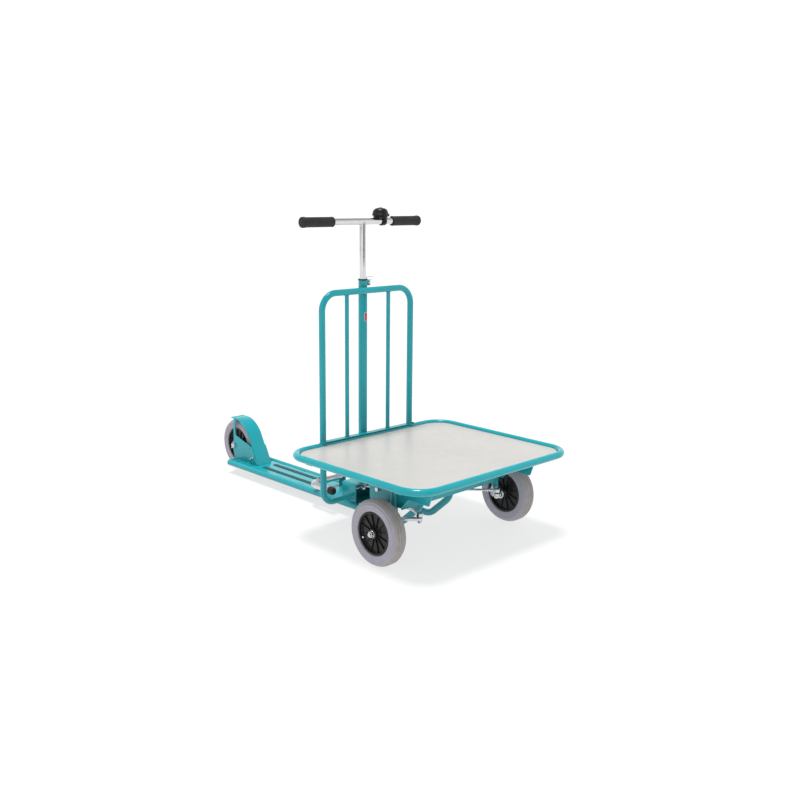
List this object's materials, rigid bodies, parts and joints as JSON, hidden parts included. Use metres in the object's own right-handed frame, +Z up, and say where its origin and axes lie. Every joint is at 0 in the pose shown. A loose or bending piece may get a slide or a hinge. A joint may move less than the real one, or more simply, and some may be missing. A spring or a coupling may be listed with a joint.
{
  "type": "platform trolley",
  "caption": "Three-wheeled kick scooter trolley: tube-framed load platform with hoop backrest over two steered front wheels, low standing deck and rear wheel.",
  "frame": {"origin": "on the floor, under the middle of the vehicle's overall length and width", "axes": "+Z up, -Y the way it drives, +X the rider's left, +Y towards the rear wheel"},
  "size_m": [0.704, 1.4305, 1.021],
  "materials": {
    "teal_enamel": "glossy powder coat",
    "board_laminate": "light grey laminate, satin",
    "chrome": "bright chrome plating",
    "zinc_plate": "bright zinc plating",
    "grey_tyre": "matt grey solid rubber",
    "black_plastic": "moulded, satin",
    "black_rubber": "matt, textured",
    "grip_strip": "matt anti-slip"
  },
  "bodies": {
    "chassis": {"platform_rim": "teal_enamel", "platform_board": "board_laminate", "platform_crossbar_front": "teal_enamel", "platform_crossbar_middle": "teal_enamel", "platform_crossbar_rear": "teal_enamel", "rim_plug": "black_plastic", "backrest_hoop": "teal_enamel", "backrest_bar_left": "teal_enamel", "backrest_bar_right": "teal_enamel", "lower_leg_left": "teal_enamel", "lower_leg_right": "teal_enamel", "steering_column": "teal_enamel", "column_bush_bottom": "black_plastic", "column_bush_top": "black_plastic", "chassis_tube_left": "teal_enamel", "chassis_tube_right": "teal_enamel", "deck_plate": "teal_enamel", "grip_strip_left": "grip_strip", "grip_strip_right": "grip_strip", "steering_bridge": "teal_enamel", "axle_beam": "teal_enamel", "stringer_left": "teal_enamel", "stringer_right": "teal_enamel", "kingpin_sleeve_left": "teal_enamel", "kingpin_sleeve_right": "teal_enamel", "fork_plate_left": "teal_enamel", "fork_plate_right": "teal_enamel", "mudguard": "teal_enamel", "rear_axle": "zinc_plate", "rear_axle_nut": "zinc_plate", "stand_bracket_left": "teal_enamel", "stand_bracket_right": "teal_enamel"},
    "steering": {"steering_tube": "zinc_plate", "pitman_arm": "zinc_plate", "clamp_collar": "teal_enamel", "stem_bush": "black_plastic", "clamp_bolt": "zinc_plate"},
    "clamp_lever": {"clamp_lever": "chrome"},
    "handlebar": {"handlebar_stem": "chrome", "handlebar_crossbar": "chrome", "grip_left": "black_rubber", "grip_right": "black_rubber", "bell_base": "black_plastic", "bell_dome": "black_plastic"},
    "bell_lever": {"bell_lever": "black_plastic"},
    "knuckle_left": {"knuckle_left": "zinc_plate", "axle_nut_left": "chrome"},
    "knuckle_right": {"knuckle_right": "zinc_plate", "axle_nut_right": "chrome"},
    "drag_link_left": {"drag_link_left": "zinc_plate"},
    "drag_link_right": {"drag_link_right": "zinc_plate"},
    "wheel_front_left": {"tyre_front_left": "grey_tyre", "rim_front_left": "black_plastic"},
    "wheel_front_right": {"tyre_front_right": "grey_tyre", "rim_front_right": "black_plastic"},
    "wheel_rear": {"tyre_rear": "grey_tyre", "rim_rear": "black_plastic"},
    "stand": {"stand_bar": "chrome", "stand_foot_left": "black_rubber", "stand_foot_right": "black_rubber"}
  },
  "joints": [
    {"name": "steering", "type": "hinge", "parent": "chassis", "child": "steering", "pos_m": [0, -0.0992, 0.45], "axis": [0, 0, 1], "range_deg": [-25, 25]},
    {"name": "handlebar_height", "type": "slide", "parent": "steering", "child": "handlebar", "axis": [0, 0, 1], "range_m": [-0.12, 0.08]},
    {"name": "clamp_lever", "type": "hinge", "parent": "steering", "child": "clamp_lever", "pos_m": [0.021, -0.0842, 0.78], "axis": [0, 0, 1], "range_deg": [0, 110]},
    {"name": "bell_lever", "type": "hinge", "parent": "handlebar", "child": "bell_lever", "pos_m": [0.077, -0.0992, 1], "axis": [0, 0, 1], "range_deg": [0, 22], "stiffness_Nm_per_rad": 0.08},
    {"name": "kingpin_left", "type": "hinge", "parent": "chassis", "child": "knuckle_left", "pos_m": [0.229, -0.493, 0.19], "axis": [0, 0, 1], "range_deg": [-13, 13]},
    {"name": "kingpin_right", "type": "hinge", "parent": "chassis", "child": "knuckle_right", "pos_m": [-0.229, -0.493, 0.19], "axis": [0, 0, 1], "range_deg": [-13, 13]},
    {"name": "drag_link_left", "type": "hinge", "parent": "steering", "child": "drag_link_left", "pos_m": [-0.04, -0.0992, 0.097], "axis": [0, 0, 1], "range_deg": [-24, 24]},
    {"name": "drag_link_right", "type": "hinge", "parent": "steering", "child": "drag_link_right", "pos_m": [0.04, -0.0992, 0.082], "axis": [0, 0, 1], "range_deg": [-24, 24]},
    {"name": "wheel_front_left_spin", "type": "hinge", "parent": "knuckle_left", "child": "wheel_front_left", "pos_m": [0.293, -0.493, 0.1], "axis": [1, 0, 0], "continuous": true},
    {"name": "wheel_front_right_spin", "type": "hinge", "parent": "knuckle_right", "child": "wheel_front_right", "pos_m": [-0.293, -0.493, 0.1], "axis": [1, 0, 0], "continuous": true},
    {"name": "wheel_rear_spin", "type": "hinge", "parent": "chassis", "child": "wheel_rear", "pos_m": [0, 0.615, 0.1], "axis": [1, 0, 0], "continuous": true},
    {"name": "parking_stand", "type": "hinge", "parent": "chassis", "child": "stand", "pos_m": [0, 0.065, 0.08], "axis": [1, 0, 0], "range_deg": [0, 35]}
  ],
  "couplings": [
    {"joint": "kingpin_left", "follows": "steering", "ratio": 0.498},
    {"joint": "kingpin_right", "follows": "steering", "ratio": 0.498},
    {"joint": "drag_link_left", "follows": "steering", "ratio": -0.942},
    {"joint": "drag_link_right", "follows": "steering", "ratio": -0.942}
  ]
}
